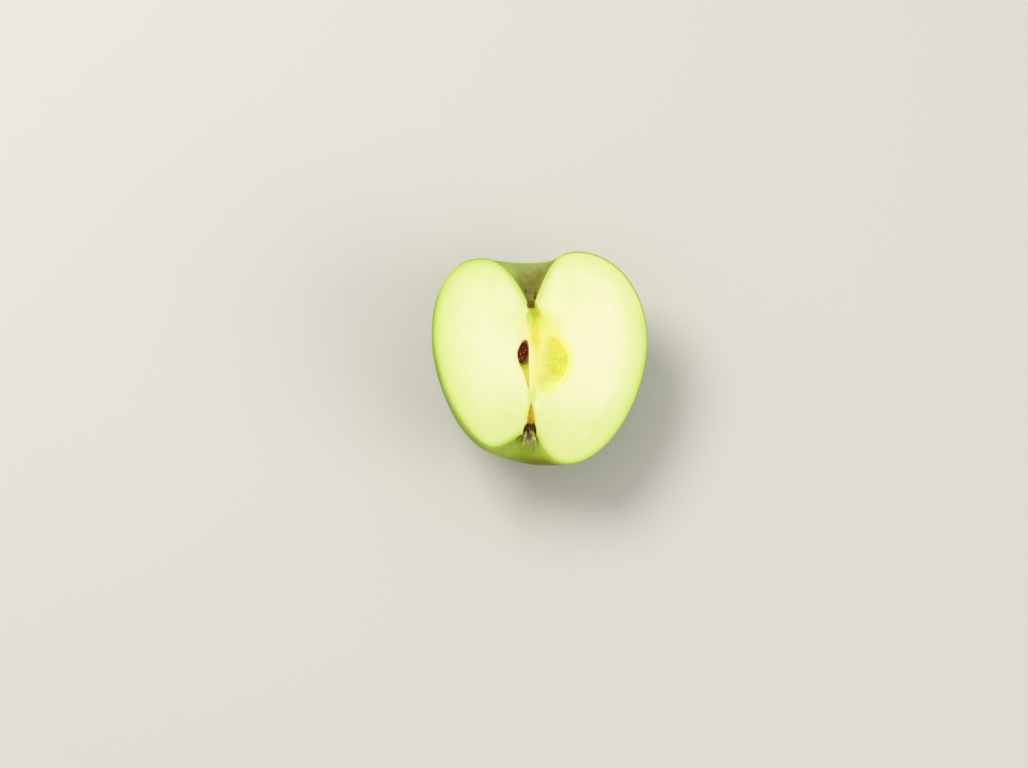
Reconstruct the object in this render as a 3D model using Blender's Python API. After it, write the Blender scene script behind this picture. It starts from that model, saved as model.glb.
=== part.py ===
"""Half of a green apple, cut lengthwise through the stalk and the core, lying on its back.

Lengths are in millimetres and angles in degrees; meshes are made in metres. The fruit has a frame
of its own: X to the right across the cut, Y away from the cut into the flesh, and Z along the
core towards the stalk, with zero halfway up. That frame is laid down, cut face up and stalk end
to +Y, so that the half rests on a small flat spot on its back.
"""
import math

import bmesh
import bpy
import numpy as np
from mathutils import Matrix

MM = 0.001

# The fruit is wider on one side of the core. A pair holds the wide side's value, then the narrow
# side's, and a point is (distance from the core, height).
SHOULDER_DISTANCE = (17.3, 16.3)
SHOULDER_HEIGHT = (38.8, 34.9)
WIDEST = ((42.7, 7.6), (34.8, 7.0))
BASE_CREST = ((13.9, -37.2), (14.0, -32.2))
SHOULDER_FULLNESS = (2.06, 2.35)
FLANK_FULLNESS = (1.75, 1.65)

# Round the back the fruit narrows a little late. The shoulder is nearly level there, and rises
# and falls only close to the cut. Five faint ribs run from the stalk to the calyx.
NARROWING = 1.5
SHOULDER_LEVEL = 5
RIB_COUNT = 5
RIBS = 0.05

# Both hollows dip from a crest in a curve: how far it runs on level, then how steep and how long
# its last stretch is.
STALK_HOLLOW_LEVEL = (9.0, 4.8)
STALK_HOLLOW_STEEP = (69.0, 66.0)
STALK_HOLLOW_RUN = (11.2, 9.0)
BASIN_LEVEL = (8.4, 3.8)
BASIN_STEEP = (66.0, 27.0)
BASIN_RUN = (3.5, 3.8)

# Down the core: the socket of the stalk with its flat floor, then the bell and the tube above
# the calyx.
SOCKET_FLOOR = 17.7
SOCKET_FLOOR_RADIUS = 0.87
SOCKET_EDGE = 18.2
SOCKET_TOP = 20.0
SOCKET_RADIUS = 1.45
BELL_MOUTH = ((2.1, -26.8), (3.1, -26.9))
BELL_TOP = -23.3
TUBE_RADIUS = 1.1
TUBE_TIP = -16.1
TUBE_TAPER = 1.4

# The two opened seed chambers: outline on the cut face as (x, z), depth and deepest place. The
# form is how long the hollow stays wide as it deepens, then how sharply it closes: the chamber
# of the seed is a box with round corners, and the bare one a shallow dish. Down its tail, between
# two heights, a chamber runs out to a share of its depth.
SEED_CHAMBER = (
    (-1.5, 6.7), (-0.65, 3.6), (-0.8, -5.3), (-0.7, -11.0),
    (-2.1, -5.8), (-4.35, -2.1), (-5.15, 1.6), (-3.8, 5.6),
)
SEED_CHAMBER_DEPTH = 3.3
SEED_CHAMBER_FLOOR = (-2.5, 1.2)
SEED_CHAMBER_FORM = (3.8, 3.8)
SEED_CHAMBER_TAIL = (-2.0, -6.5, 0.3)
BARE_CHAMBER = (
    (2.1, 6.1), (7.4, 8.0), (12.1, 4.4), (13.5, -0.8),
    (11.3, -6.3), (5.8, -11.2), (2.3, -11.4), (1.6, -3.8),
)
BARE_CHAMBER_DEPTH = 1.7
BARE_CHAMBER_FLOOR = (9.8, -1.9)
BARE_CHAMBER_FORM = (1.0, 1.3)
BARE_CHAMBER_TAIL = (-7.0, -12.5, 0.7)

# The seed: length, width and thickness, its middle and its lean from the core. Its width swells
# and shrinks along the arc of a half circle, with a power for how sharp each end is; the arc
# starts late, so that its lower end is the blunter one.
SEED_SIZE = (7.7, 3.5, 2.0)
SEED_MIDDLE = (-2.8, 1.2, 2.2)
SEED_LEAN = 13.0
SEED_LOWER_END = 0.6
SEED_UPPER_END = 0.62
SEED_ARC = (0.08, 0.95)

# The stub that is left of the stalk: radius, and height above its foot.
STUB_FOOT = 18.1
STUB_OUTLINE = ((0.0, 0.0), (0.75, 0.0), (1.05, 0.6), (1.1, 1.7), (0.85, 2.4), (0.0, 2.15))

# The dried calyx: its plug, which is off the core's axis, set back from the cut and flatter than
# round, and the sepals and stamens on it. A strand starts at (distance from the plug's middle,
# height) and sways to one side, then the next to the other.
CALYX_PLUG = ((0.0, -23.9), (1.2, -24.2), (1.95, -25.2), (2.1, -26.5), (1.6, -27.5), (0.0, -27.9))
CALYX_PLUG_SHIFT = -0.5
CALYX_PLUG_SET_BACK = 0.5
CALYX_PLUG_FLATNESS = 0.72
STRAND_BEND = 1.4
STRAND_DROOP = 0.8
SEPAL_START = (1.2, -26.1)
SEPAL_TURNS = (24.0, 68.0, 112.0, 152.0)
SEPAL_REACH = (2.8, 3.6, 3.7, 3.5)
SEPAL_TIPS = (-30.9, -31.5, -30.8, -31.2)
SEPAL_SWAY = (-0.14, 0.12)
SEPAL_WIDTH = 1.4
SEPAL_THICKNESS = 0.5
STAMEN_START = (0.7, -26.5)
STAMEN_TURNS = (48.0, 90.0, 131.0)
STAMEN_REACH = 1.9
STAMEN_TIPS = (-30.0, -30.6, -29.6)
STAMEN_SWAY = (-0.25, 0.2)
STAMEN_WIDTH = 0.5

# How the half lies: calyx end down, wide side down, and how much the flat spot takes off. The
# block that takes it off is wider than the fruit.
LIE_TO_CALYX = 8.8
LIE_TO_WIDE_SIDE = 13.9
FLAT_SPOT_DEPTH = 0.8
REST_BLOCK = (100.0, 100.0, 20.0)

# How finely the meshes are drawn.
TURN_STEPS = 32
HOLLOW_STEPS = 9
ROUND_STEPS = 11
TUBE_STEPS = 4
CHAMBER_STEPS = 3
CHAMBER_RINGS = 5
CHAMBER_CUT_PROUD = 1.0
SEED_RINGS = 12
SEED_SIDES = 14
STUB_STEPS = 10
PLUG_STEPS = 12
STRAND_RINGS = 9
SEPAL_SIDES = 8
STAMEN_SIDES = 6
SMOOTH_BELOW = 40.0

# Colour and roughness of each finish.
FINISHES = {
    "skin": ((0.30, 0.50, 0.07), 0.32),
    "flesh": ((0.90, 0.91, 0.62), 0.42),
    "seed_coat": ((0.13, 0.03, 0.012), 0.25),
    "stalk_wood": ((0.16, 0.10, 0.03), 0.8),
    "dry_calyx": ((0.22, 0.16, 0.08), 0.85),
}


def clear_file():
    """Start from an empty file."""
    for thing in list(bpy.data.objects):
        bpy.data.objects.remove(thing)


def finish(name):
    """A plain material with the finish's colour and roughness."""
    material = bpy.data.materials.new(name)
    material.use_nodes = True
    shader = material.node_tree.nodes["Principled BSDF"]
    colour, roughness = FINISHES[name]
    shader.inputs["Base Color"].default_value = (*colour, 1.0)
    shader.inputs["Roughness"].default_value = roughness
    return material


def blend(pair, share):
    """A size on the way from the wide side's value to the narrow side's."""
    wide, narrow = np.asarray(pair, dtype=float)
    return wide * (1.0 - share) + narrow * share


def side_share(turn):
    """How narrow the fruit is at a turn round the core, with a part that comes back at each rib."""
    once = (0.5 - 0.5 * math.cos(turn)) ** NARROWING
    at_each_rib = 0.5 - 0.5 * math.cos(RIB_COUNT * turn)
    return (1.0 - RIBS) * once + RIBS * at_each_rib


def hollow(crest, foot, level, steep, run):
    """The curve from a crest down into a hollow, as a cubic Bezier."""
    down = math.copysign(1.0, crest[1] - foot[1])
    slope = np.array((math.cos(math.radians(steep)), down * math.sin(math.radians(steep))))
    first = crest - np.array((level, 0.0))
    second = foot + run * slope
    t = np.linspace(0.0, 1.0, HOLLOW_STEPS + 1)[:, None]
    return (1 - t) ** 3 * crest + 3 * (1 - t) ** 2 * t * first + 3 * (1 - t) * t**2 * second + t**3 * foot


def quarter(crest, widest, fullness):
    """A quarter of a superellipse, level at the crest and upright at the widest point."""
    angle = np.linspace(0.0, 0.5 * math.pi, ROUND_STEPS + 1)
    out = crest[0] + (widest[0] - crest[0]) * np.sin(angle) ** (2.0 / fullness)
    up = widest[1] + (crest[1] - widest[1]) * np.cos(angle) ** (2.0 / fullness)
    return np.column_stack((out, up))


def socket_outline():
    """The floor of the stalk's socket, out to the foot of its wall."""
    return np.array(((0.0, SOCKET_FLOOR), (SOCKET_FLOOR_RADIUS, SOCKET_FLOOR), (SOCKET_RADIUS, SOCKET_EDGE)))


def calyx_outline(mouth):
    """The bell above the calyx, then the tube that tapers up the core."""
    angle = np.linspace(0.0, 0.5 * math.pi, TUBE_STEPS + 1)[1:]
    bell_radius = TUBE_RADIUS + (mouth[0] - TUBE_RADIUS) * np.cos(angle)
    bell_height = mouth[1] + (BELL_TOP - mouth[1]) * np.sin(angle)
    up = np.linspace(0.0, 1.0, TUBE_STEPS + 1)[1:]
    tube_radius = TUBE_RADIUS * (1.0 - up**TUBE_TAPER)
    tube_height = BELL_TOP + (TUBE_TIP - BELL_TOP) * up
    bell = np.column_stack((bell_radius, bell_height))
    tube = np.column_stack((tube_radius, tube_height))
    return np.concatenate((bell, tube))


def fruit_outline(turn):
    """The half's outline at a turn round the core, from the socket's floor to the tube's tip."""
    share = side_share(turn)
    shoulder_share = 0.5 - 0.5 * math.cos(turn) ** SHOULDER_LEVEL
    crest = np.array((blend(SHOULDER_DISTANCE, share), blend(SHOULDER_HEIGHT, shoulder_share)))
    foot = np.array((SOCKET_RADIUS, SOCKET_TOP))
    widest, base, mouth = (blend(place, share) for place in (WIDEST, BASE_CREST, BELL_MOUTH))
    stalk_dip = (blend(size, share) for size in (STALK_HOLLOW_LEVEL, STALK_HOLLOW_STEEP, STALK_HOLLOW_RUN))
    basin_dip = (blend(size, share) for size in (BASIN_LEVEL, BASIN_STEEP, BASIN_RUN))
    return np.concatenate(
        (
            socket_outline(),
            hollow(crest, foot, *stalk_dip)[::-1],
            quarter(crest, widest, blend(SHOULDER_FULLNESS, share))[1:],
            quarter(base, widest, blend(FLANK_FULLNESS, share))[-2::-1],
            hollow(base, mouth, *basin_dip)[1:],
            calyx_outline(mouth),
        )
    )


def half_turned(outline_at, steps):
    """Points and faces of a solid turned half round the core, closed by the flat cut.

    The outline starts and ends on the core. The last face is the cut.
    """
    rings = []
    for turn in np.linspace(0.0, math.pi, steps + 1):
        outline = outline_at(turn)
        across = outline[:, 0] * math.cos(turn)
        inward = outline[:, 0] * math.sin(turn)
        rings.append(np.column_stack((across, inward, outline[:, 1])))
    top, low = rings[0][0], rings[0][-1]
    inner = [ring[1:-1] for ring in rings]
    count = len(inner[0])
    points = [top, low] + [point for ring in inner for point in ring]

    def at(step, place):
        return 2 + step * count + place

    faces = []
    for step in range(steps):
        faces.append((0, at(step, 0), at(step + 1, 0)))
        for place in range(count - 1):
            faces.append((at(step, place), at(step, place + 1), at(step + 1, place + 1), at(step + 1, place)))
        faces.append((at(step, count - 1), 1, at(step + 1, count - 1)))
    right = [at(0, place) for place in range(count)]
    left = [at(steps, place) for place in range(count)]
    faces.append((0, *right, 1, *reversed(left)))
    return np.array(points), faces


def ring_faces(rings, sides):
    """The four-sided faces between rings of points that follow each other."""
    faces = []
    for ring in range(rings - 1):
        here, after = ring * sides, (ring + 1) * sides
        for side in range(sides):
            next_side = (side + 1) % sides
            faces.append((here + side, here + next_side, after + next_side, after + side))
    return faces


def swept(path, widths, thicknesses, sides, across):
    """Points and faces of a closed solid with an oval section that follows a path."""
    path = np.asarray(path, dtype=float)
    tangents = np.gradient(path, axis=0)
    angles = np.linspace(0.0, 2.0 * math.pi, sides, endpoint=False)[:, None]
    rings = []
    for point, tangent, width, thickness in zip(path, tangents, widths, thicknesses):
        tangent = tangent / np.linalg.norm(tangent)
        flat = across - np.dot(across, tangent) * tangent
        flat = flat / np.linalg.norm(flat)
        proud = np.cross(tangent, flat)
        rings.append(point + 0.5 * width * np.cos(angles) * flat + 0.5 * thickness * np.sin(angles) * proud)
    faces = ring_faces(len(path), sides)
    faces.append(tuple(range(sides)))
    faces.append(tuple(range((len(path) - 1) * sides, len(path) * sides)))
    return np.concatenate(rings), faces


def smooth_loop(corners, steps):
    """A closed Catmull-Rom curve through the corners."""
    corners = np.asarray(corners, dtype=float)
    points = []
    for place in range(len(corners)):
        before, here, after, next_after = (corners[(place + shift) % len(corners)] for shift in (-1, 0, 1, 2))
        for t in np.arange(steps) / steps:
            bend = 2.0 * before - 5.0 * here + 4.0 * after - next_after
            swing = 3.0 * (here - after) + next_after - before
            points.append(here + 0.5 * (t * (after - before) + t**2 * bend + t**3 * swing))
    return np.array(points)


def depth_left(height, tail):
    """The share of its depth that a chamber has at a height, less and less down its tail."""
    start, end, least = tail
    down = min(max((start - height) / (start - end), 0.0), 1.0)
    return 1.0 - (1.0 - least) * down**2 * (3.0 - 2.0 * down)


def bowl(outline, floor, depth, form, tail):
    """Points and faces of a cutter that hollows the cut face inside an outline, deepest at floor."""
    loop = smooth_loop(outline, CHAMBER_STEPS)
    floor = np.array(floor)
    shares = np.sin(np.linspace(0.0, 0.5 * math.pi, CHAMBER_RINGS + 1))[:-1]
    levels = [(-CHAMBER_CUT_PROUD, 1.0)]
    levels += [(depth * share, (1.0 - share ** form[0]) ** (1.0 / form[1])) for share in shares]
    points = []
    for level, size in levels:
        for x, z in floor + size * (loop - floor):
            points.append((x, level * depth_left(z, tail), z))
    points.append((floor[0], depth, floor[1]))
    count = len(loop)
    faces = ring_faces(len(levels), count)
    last = (len(levels) - 1) * count
    for place in range(count):
        faces.append((last + place, last + (place + 1) % count, len(points) - 1))
    faces.append(tuple(range(count)))
    return np.array(points), faces


def make_object(name, points, faces, materials, parent):
    """A smooth-shaded closed object from points in millimetres, its faces turned outward."""
    mesh = bpy.data.meshes.new(name)
    mesh.from_pydata([tuple(MM * point) for point in points], [], faces)
    for material in materials:
        mesh.materials.append(material)
    draft = bmesh.new()
    draft.from_mesh(mesh)
    bmesh.ops.recalc_face_normals(draft, faces=draft.faces)
    draft.to_mesh(mesh)
    draft.free()
    mesh.shade_smooth()
    mesh.set_sharp_from_angle(angle=math.radians(SMOOTH_BELOW))
    thing = bpy.data.objects.new(name, mesh)
    bpy.context.collection.objects.link(thing)
    thing.parent = parent
    return thing


def cut_with(thing, cutter):
    """Take a cutter's shape out of an object and keep the cutter out of sight."""
    cutter.hide_render = True
    cutter.display_type = "WIRE"
    cut = thing.modifiers.new(cutter.name, "BOOLEAN")
    cut.operation = "DIFFERENCE"
    cut.object = cutter


def lying_frame():
    """The empty that lays the fruit down, with its box centred over the origin."""
    turn = (
        Matrix.Rotation(math.radians(LIE_TO_CALYX), 4, "X")
        @ Matrix.Rotation(math.radians(LIE_TO_WIDE_SIDE), 4, "Y")
        @ Matrix.Rotation(math.radians(-90.0), 4, "X")
    )
    points, _ = half_turned(fruit_outline, TURN_STEPS)
    laid = MM * points @ np.array(turn.to_3x3()).T
    middle = 0.5 * (laid.min(axis=0) + laid.max(axis=0))
    drop = laid[:, 2].min() + MM * FLAT_SPOT_DEPTH
    frame = bpy.data.objects.new("lying_frame", None)
    bpy.context.collection.objects.link(frame)
    frame.matrix_world = Matrix.Translation((-middle[0], -middle[1], -drop)) @ turn
    return frame


def rest_block(materials):
    """The block under the half that flattens its back, with its top at the table's height."""
    mesh = bpy.data.meshes.new("rest_block")
    draft = bmesh.new()
    bmesh.ops.create_cube(draft, size=1.0)
    draft.to_mesh(mesh)
    draft.free()
    for material in materials:
        mesh.materials.append(material)
    for face in mesh.polygons:
        face.material_index = len(materials) - 1
    block = bpy.data.objects.new("rest_block", mesh)
    bpy.context.collection.objects.link(block)
    block.scale = [MM * size for size in REST_BLOCK]
    block.location = (0.0, 0.0, -0.5 * MM * REST_BLOCK[2])
    return block


def make_fruit(frame):
    """The half itself, with both seed chambers opened and its back flattened where it rests."""
    finishes = finish("flesh"), finish("skin")
    points, faces = half_turned(fruit_outline, TURN_STEPS)
    fruit = make_object("apple_half", points, faces, finishes, frame)
    core_radius = max(mouth[0] for mouth in BELL_MOUTH)
    core_low = min(mouth[1] for mouth in BELL_MOUTH)
    for face in fruit.data.polygons[:-1]:
        in_core = face.center.xy.length < MM * core_radius and MM * core_low < face.center.z < MM * SOCKET_TOP
        face.material_index = 0 if in_core else 1

    seed_chamber = (SEED_CHAMBER, SEED_CHAMBER_FLOOR, SEED_CHAMBER_DEPTH, SEED_CHAMBER_FORM, SEED_CHAMBER_TAIL)
    bare_chamber = (BARE_CHAMBER, BARE_CHAMBER_FLOOR, BARE_CHAMBER_DEPTH, BARE_CHAMBER_FORM, BARE_CHAMBER_TAIL)
    for name, shape in (("seed_chamber", seed_chamber), ("bare_chamber", bare_chamber)):
        cut_with(fruit, make_object(name, *bowl(*shape), finishes[:1], frame))
    cut_with(fruit, rest_block(finishes))
    return fruit


def make_seed(frame):
    """The seed, blunter below than towards the stalk, lying in its chamber."""
    length, width, thickness = SEED_SIZE
    start, end = SEED_ARC
    along = -np.cos(np.linspace(start * math.pi, end * math.pi, SEED_RINGS))
    form = (1.0 + along) ** SEED_LOWER_END * (1.0 - along) ** SEED_UPPER_END
    form = form / form.max()
    along = (along - along.min()) / (along.max() - along.min()) - 0.5
    path = np.column_stack((np.zeros_like(along), np.zeros_like(along), length * along))
    points, faces = swept(path, width * form, thickness * form, SEED_SIDES, np.array((1.0, 0.0, 0.0)))
    seed = make_object("seed", points, faces, (finish("seed_coat"),), frame)
    seed.location = MM * np.array(SEED_MIDDLE)
    seed.rotation_euler = (0.0, math.radians(SEED_LEAN), 0.0)
    return seed


def make_stub(frame):
    """The stub of the stalk, sliced with the fruit, a little wider where it broke off."""
    outline = np.array(STUB_OUTLINE) + (0.0, STUB_FOOT)
    points, faces = half_turned(lambda turn: outline, STUB_STEPS)
    return make_object("stalk_stub", points, faces, (finish("stalk_wood"),), frame)


def calyx_strand(turn, start, reach, tip, sway):
    """The path of a sepal or stamen, from the plug out and down, bent to one side."""
    t = np.linspace(0.0, 1.0, STRAND_RINGS)
    radius = start[0] + (reach - start[0]) * t
    turns = math.radians(turn) + sway * np.sin(STRAND_BEND * math.pi * t)
    height = start[1] + (tip - start[1]) * t**STRAND_DROOP
    return np.column_stack((CALYX_PLUG_SHIFT + radius * np.cos(turns), radius * np.sin(turns), height))


def make_calyx(frame):
    """The dried calyx: a plug in the bell, with shrivelled sepals and stamens joined to it."""
    dry = finish("dry_calyx")
    plug = np.array(CALYX_PLUG)
    points, faces = half_turned(lambda turn: plug, PLUG_STEPS)
    points *= (1.0, CALYX_PLUG_FLATNESS, 1.0)
    points += (CALYX_PLUG_SHIFT, CALYX_PLUG_SET_BACK, 0.0)
    calyx = make_object("dried_calyx", points, faces, (dry,), frame)
    strands = bpy.data.collections.new("calyx_strands")
    bpy.context.scene.collection.children.link(strands)

    def add_strand(name, path, widths, thicknesses, sides, turn):
        around = np.array((-math.sin(math.radians(turn)), math.cos(math.radians(turn)), 0.0))
        strand = make_object(name, *swept(path, widths, thicknesses, sides, around), (dry,), frame)
        bpy.context.collection.objects.unlink(strand)
        strands.objects.link(strand)

    t = np.linspace(0.0, 1.0, STRAND_RINGS)
    sepal_widths = SEPAL_WIDTH * (1.0 - 0.75 * t**1.5)
    sepal_thicknesses = SEPAL_THICKNESS * (1.0 - 0.3 * t)
    for number, (turn, reach, tip) in enumerate(zip(SEPAL_TURNS, SEPAL_REACH, SEPAL_TIPS)):
        path = calyx_strand(turn, SEPAL_START, reach, tip, SEPAL_SWAY[number % 2])
        add_strand(f"sepal_{number}", path, sepal_widths, sepal_thicknesses, SEPAL_SIDES, turn)
    stamen_widths = STAMEN_WIDTH * (1.0 - 0.25 * t)
    for number, (turn, tip) in enumerate(zip(STAMEN_TURNS, STAMEN_TIPS)):
        path = calyx_strand(turn, STAMEN_START, STAMEN_REACH, tip, STAMEN_SWAY[number % 2])
        add_strand(f"stamen_{number}", path, stamen_widths, stamen_widths, STAMEN_SIDES, turn)

    bpy.context.view_layer.update()
    join = calyx.modifiers.new("strands", "BOOLEAN")
    join.operation = "UNION"
    join.operand_type = "COLLECTION"
    join.collection = strands
    joined = bpy.data.meshes.new_from_object(calyx.evaluated_get(bpy.context.evaluated_depsgraph_get()))
    calyx.modifiers.remove(join)
    calyx.data = joined
    for strand in list(strands.objects):
        bpy.data.objects.remove(strand)
    bpy.data.collections.remove(strands)
    return calyx


clear_file()
lying = lying_frame()
make_fruit(lying)
make_seed(lying)
make_stub(lying)
make_calyx(lying)
bpy.context.view_layer.update()
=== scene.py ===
"""Half of a green apple, cut lengthwise, lying on its back on a pale table.

The sections follow the fruit as it is put together: the half itself, its seed, the stub of its
stalk and its dried calyx, then the table, the light and the camera. Lengths are in millimetres
in the fruit's own frame: X across the cut, Y into the flesh, Z up the core, zero halfway up.
"""
import math

import bmesh
import bpy
import numpy as np
from mathutils import Matrix, Vector, noise
from mathutils.geometry import delaunay_2d_cdt


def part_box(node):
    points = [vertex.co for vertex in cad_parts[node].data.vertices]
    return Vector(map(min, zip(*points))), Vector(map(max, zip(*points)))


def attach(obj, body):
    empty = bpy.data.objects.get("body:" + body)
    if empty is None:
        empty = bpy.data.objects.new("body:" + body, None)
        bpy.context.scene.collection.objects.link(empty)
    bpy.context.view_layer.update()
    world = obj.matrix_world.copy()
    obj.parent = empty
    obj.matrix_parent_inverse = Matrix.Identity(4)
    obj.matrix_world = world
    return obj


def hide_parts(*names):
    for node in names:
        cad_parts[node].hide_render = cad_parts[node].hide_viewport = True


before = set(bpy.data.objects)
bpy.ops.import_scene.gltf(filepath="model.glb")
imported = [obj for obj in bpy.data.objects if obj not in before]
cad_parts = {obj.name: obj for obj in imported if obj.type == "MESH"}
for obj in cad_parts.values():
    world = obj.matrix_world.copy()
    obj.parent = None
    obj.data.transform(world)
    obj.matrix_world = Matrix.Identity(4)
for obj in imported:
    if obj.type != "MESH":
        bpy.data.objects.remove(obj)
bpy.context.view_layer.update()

# The half: flesh in a thin waxy skin, one piece as it grew, sliced flat by a knife.
# Its outline swings round the core from the wide side to the narrow side. A pair of sizes holds
# the wide side's, then the narrow side's, and a point is (distance from the core, height).
MM = 0.001
SHOULDER_DISTANCE = (17.3, 16.3)
SHOULDER_HEIGHT = (38.8, 34.9)
SHOULDER_LEVEL = 5
WIDEST = ((42.7, 7.6), (34.8, 7.0))
BASE_CREST = ((13.9, -37.2), (14.0, -32.2))
SHOULDER_FULLNESS = (2.06, 2.35)
FLANK_FULLNESS = (1.75, 1.65)
NARROWING = 1.5
RIB_COUNT = 5
RIBS = 0.05
# A dip is its level run at the crest, its steepness at the foot in degrees, and its run there.
STALK_DIP = ((9.0, 4.8), (69.0, 66.0), (11.2, 9.0))
BASIN_DIP = ((8.4, 3.8), (66.0, 27.0), (3.5, 3.8))
SOCKET_FLOOR = 17.85
SOCKET_FLOOR_RADIUS = 0.87
SOCKET_EDGE = 18.25
SOCKET_RADIUS = 1.35
SOCKET_TOP = 20.0
BELL_MOUTH = ((1.9, -26.8), (2.85, -26.9))
BELL_TOP = -23.3
BELL_SLOPE = 1.6
TUBE_RADIUS = 1.3
TUBE_TIP = -16.1
TUBE_TAPER = 1.7
LIE_TO_CALYX = 8.8
LIE_TO_WIDE_SIDE = 13.9
INSIDE_THE_BOX = 0.9985
SHARP_EDGE = 50.0
TURN_STEPS = 120
HOLLOW_STEPS = 40
ROUND_STEPS = 66
TUBE_STEPS = 14
# Places along the outline where the skin starts, above the socket, and ends, at the bell's mouth.
SKIN_START = 3
SKIN_END = SKIN_START + 2 * HOLLOW_STEPS + 2 * ROUND_STEPS


def blend(pair, share):
    """The wide side's size, the narrow side's, or a share between them."""
    wide, narrow = np.asarray(pair, dtype=float)
    return wide * (1.0 - share) + narrow * share


def hollow(crest, foot, level, steep, run):
    """The curve from a crest down into a hollow."""
    steep = math.radians(steep)
    down = math.copysign(1.0, crest[1] - foot[1])
    first = crest - (level, 0.0)
    second = foot + run * np.array((math.cos(steep), down * math.sin(steep)))
    t = np.linspace(0.0, 1.0, HOLLOW_STEPS + 1)[:, None]
    return (1 - t) ** 3 * crest + 3 * (1 - t) ** 2 * t * first + 3 * (1 - t) * t**2 * second + t**3 * foot


def quarter(crest, widest, fullness):
    """A quarter of a superellipse, from level at the crest to upright at the widest point."""
    angle = np.linspace(0.0, 0.5 * math.pi, ROUND_STEPS + 1)
    out = crest[0] + (widest[0] - crest[0]) * np.sin(angle) ** (2.0 / fullness)
    up = widest[1] + (crest[1] - widest[1]) * np.cos(angle) ** (2.0 / fullness)
    return np.column_stack((out, up))


def core_outline(mouth):
    """The bell above the calyx, then the tube that tapers up the core."""
    angle = np.linspace(0.0, 0.5 * math.pi, TUBE_STEPS + 1)[1:]
    up = np.linspace(0.0, 1.0, TUBE_STEPS + 1)[1:]
    bell = TUBE_RADIUS + (mouth[0] - TUBE_RADIUS) * np.maximum(np.cos(angle), 0.0) ** BELL_SLOPE
    radius = (bell, TUBE_RADIUS * (1.0 - up**TUBE_TAPER))
    height = (mouth[1] + (BELL_TOP - mouth[1]) * np.sin(angle), BELL_TOP + (TUBE_TIP - BELL_TOP) * up)
    return np.column_stack((np.concatenate(radius), np.concatenate(height)))


def fruit_outline(turn):
    """The half's outline at a turn round the core, from the socket's floor to the tube's tip."""
    narrow = (0.5 - 0.5 * math.cos(turn)) ** NARROWING
    share = (1.0 - RIBS) * narrow + RIBS * (0.5 - 0.5 * math.cos(RIB_COUNT * turn))
    shoulder_share = 0.5 - 0.5 * math.cos(turn) ** SHOULDER_LEVEL
    crest = np.array((blend(SHOULDER_DISTANCE, share), blend(SHOULDER_HEIGHT, shoulder_share)))
    widest, base, mouth = (blend(place, share) for place in (WIDEST, BASE_CREST, BELL_MOUTH))
    floor = ((0.0, SOCKET_FLOOR), (SOCKET_FLOOR_RADIUS, SOCKET_FLOOR), (SOCKET_RADIUS, SOCKET_EDGE))
    socket_top = np.array((SOCKET_RADIUS, SOCKET_TOP))
    stalk_side = hollow(crest, socket_top, *(blend(size, share) for size in STALK_DIP))
    basin_side = hollow(base, mouth, *(blend(size, share) for size in BASIN_DIP))
    shoulder = quarter(crest, widest, blend(SHOULDER_FULLNESS, share))
    flank = quarter(base, widest, blend(FLANK_FULLNESS, share))
    stretches = (floor, stalk_side[::-1], shoulder[1:], flank[-2::-1], basin_side[1:], core_outline(mouth))
    return np.concatenate(stretches)


def turned(outline, turn):
    """An outline's points, as (distance from the core, height), at a turn round the core."""
    out, up = outline.T
    return np.column_stack((out * math.cos(turn), out * math.sin(turn), up))


def laid_down():
    """The frame of the fruit as it lies, its top and sides where the box of the part has them."""
    turn = (
        Matrix.Rotation(math.radians(LIE_TO_CALYX), 4, "X")
        @ Matrix.Rotation(math.radians(LIE_TO_WIDE_SIDE), 4, "Y")
        @ Matrix.Rotation(math.radians(-90.0), 4, "X")
    )
    low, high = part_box("apple_half")
    points = [turned(fruit_outline(angle), angle) for angle in np.linspace(0.0, math.pi, TURN_STEPS + 1)]
    laid = MM * np.concatenate(points) @ np.array(turn.to_3x3()).T
    middle = 0.5 * (laid.min(axis=0) + laid.max(axis=0))
    shift_x = 0.5 * (low.x + high.x) - middle[0]
    shift_y = 0.5 * (low.y + high.y) - middle[1]
    return Matrix.Translation((shift_x, shift_y, high.z - laid[:, 2].max())) @ turn


lying = laid_down()


def as_it_lies(points):
    """Points of the fruit's frame, in mm, where they lie, in metres, none of them under the table."""
    placed = np.asarray(points) * MM * INSIDE_THE_BOX @ np.array(lying.to_3x3()).T
    placed = placed + np.array(lying.translation)
    placed[:, 2] = np.maximum(placed[:, 2], 0.0)
    return placed


def turn_outward(mesh):
    """Makes all the faces of a mesh look outward."""
    draft = bmesh.new()
    draft.from_mesh(mesh)
    bmesh.ops.recalc_face_normals(draft, faces=draft.faces)
    draft.to_mesh(mesh)
    draft.free()


def make_piece(name, points, faces, finishes, kinds=None, marks=None):
    """A smooth piece of the fruit, laid down, which keeps its fruit-frame places for its material."""
    points = np.asarray(points, dtype=float)
    mesh = bpy.data.meshes.new(name)
    mesh.from_pydata([tuple(point) for point in as_it_lies(points)], [], faces)
    for finish in finishes:
        mesh.materials.append(finish)
    if kinds is not None:
        mesh.polygons.foreach_set("material_index", kinds)
    spots = mesh.attributes.new("fruit", "FLOAT_VECTOR", "POINT")
    spots.data.foreach_set("vector", points.astype(np.float32).ravel())
    for mark, values in (marks or {}).items():
        layer = mesh.attributes.new(mark, "FLOAT", "POINT")
        layer.data.foreach_set("value", np.asarray(values, dtype=np.float32))
    mesh.shade_smooth()
    mesh.set_sharp_from_angle(angle=math.radians(SHARP_EDGE))
    turn_outward(mesh)
    piece = bpy.data.objects.new(name, mesh)
    bpy.context.collection.objects.link(piece)
    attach(piece, "root")
    return piece


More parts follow.
